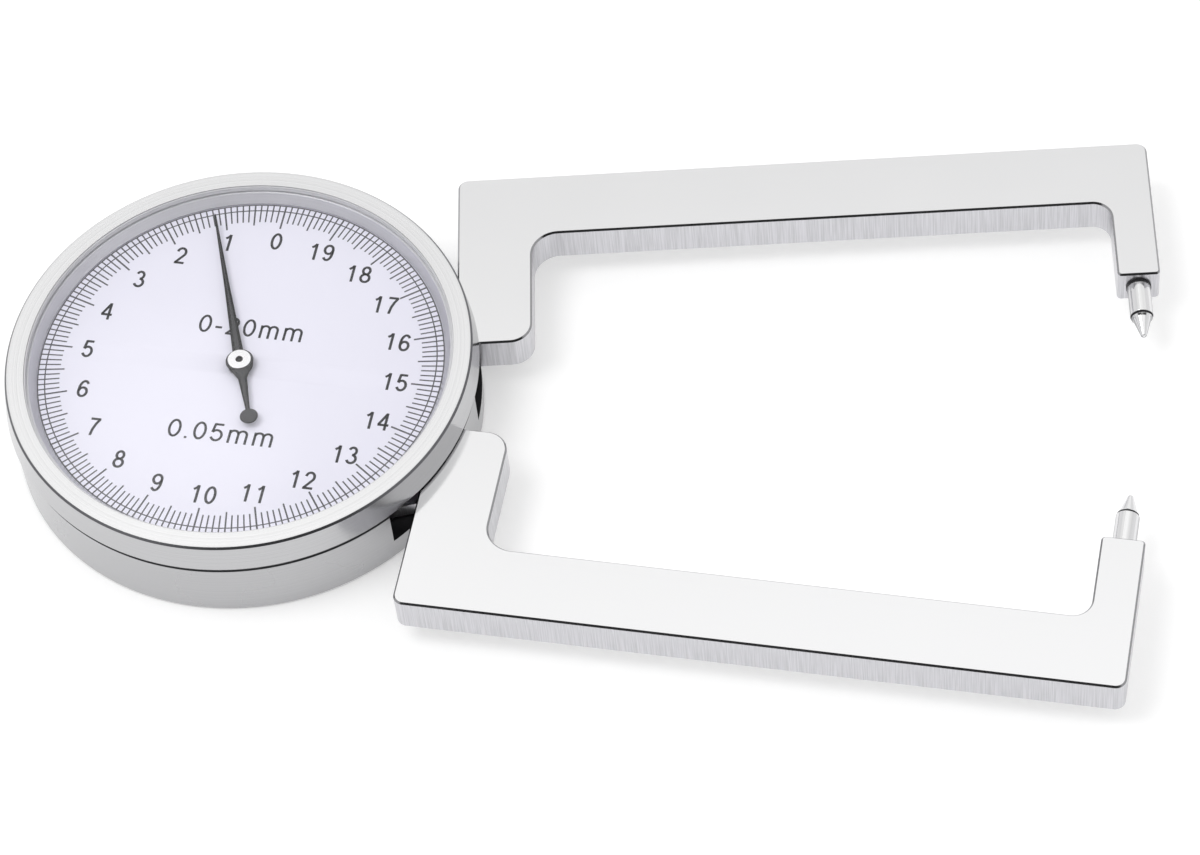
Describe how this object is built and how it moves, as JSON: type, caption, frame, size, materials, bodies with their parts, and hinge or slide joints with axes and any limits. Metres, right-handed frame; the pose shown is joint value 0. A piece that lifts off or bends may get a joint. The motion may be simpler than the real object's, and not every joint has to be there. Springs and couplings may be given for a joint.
{
  "type": "dial thickness gauge",
  "caption": "Dial thickness gauge with a round analogue dial, two long C-shaped steel arms and facing pointed anvil pins, its jaws open.",
  "frame": {"origin": "centre of the case's back face", "axes": "+X along the fixed arm, away from the dial; +Z out of the dial; +Y towards the moving arm"},
  "size_m": [0.1278, 0.0729, 0.0113],
  "materials": {
    "polished_steel": "polished",
    "satin_steel": "satin",
    "dark_steel": "blackened",
    "brass": "machined",
    "hand_black": "satin black",
    "dial_white": "matt white with printed marks",
    "clear_crystal": "clear"
  },
  "bodies": {
    "case": {"case_drum": "satin_steel", "back_plate": "satin_steel", "back_screw_1": "dark_steel", "back_screw_2": "dark_steel", "back_screw_3": "dark_steel", "back_screw_4": "dark_steel", "fixed_arm": "polished_steel", "fixed_pin": "polished_steel", "arm_screw_1": "dark_steel", "arm_screw_2": "dark_steel", "pivot_post": "dark_steel", "pivot_circlip": "dark_steel", "upper_bridge": "brass", "pillar_1": "satin_steel", "pillar_2": "satin_steel", "pillar_3": "satin_steel", "bridge_screw_1": "dark_steel", "bridge_screw_2": "dark_steel", "bridge_screw_3": "dark_steel", "stop_pin": "dark_steel", "spring_post": "satin_steel", "return_spring": "dark_steel", "hairspring": "dark_steel", "hairspring_stud": "satin_steel", "bezel_wire": "dark_steel"},
    "moving_arm": {"moving_arm": "polished_steel", "moving_pin": "polished_steel", "pivot_bush": "brass", "sector_gear": "brass", "sector_screw_1": "dark_steel", "sector_screw_2": "dark_steel", "spring_hook_pin": "dark_steel"},
    "idler": {"idler_arbor": "satin_steel", "idler_pinion": "satin_steel", "idler_wheel": "brass"},
    "hand": {"centre_arbor": "satin_steel", "centre_pinion": "satin_steel", "hairspring_collet": "satin_steel", "hand": "hand_black", "hand_boss": "polished_steel"},
    "bezel": {"bezel_ring": "satin_steel", "crystal": "clear_crystal", "dial_plate": "dial_white"}
  },
  "joints": [
    {"name": "jaw_hinge", "type": "hinge", "parent": "case", "child": "moving_arm", "pos_m": [-0.00846, 0.00425, 0.0039], "axis": [0, 0, 1], "range_deg": [-11.2, 0.6], "deforming": ["return_spring"]},
    {"name": "idler_turn", "type": "hinge", "parent": "case", "child": "idler", "pos_m": [0.0082, 0.00088, 0.0055], "axis": [0, 0, 1], "range_deg": [-5, 85]},
    {"name": "hand_turn", "type": "hinge", "parent": "case", "child": "hand", "pos_m": [0, 0, 0.0065], "axis": [0, 0, 1], "range_deg": [-380, 22], "deforming": ["hairspring"]},
    {"name": "bezel_turn", "type": "hinge", "parent": "case", "child": "bezel", "pos_m": [0, 0, 0.0095], "axis": [0, 0, 1], "continuous": true}
  ],
  "couplings": [
    {"joint": "idler_turn", "follows": "jaw_hinge", "ratio": -7.5},
    {"joint": "hand_turn", "follows": "jaw_hinge", "ratio": 33.75}
  ]
}
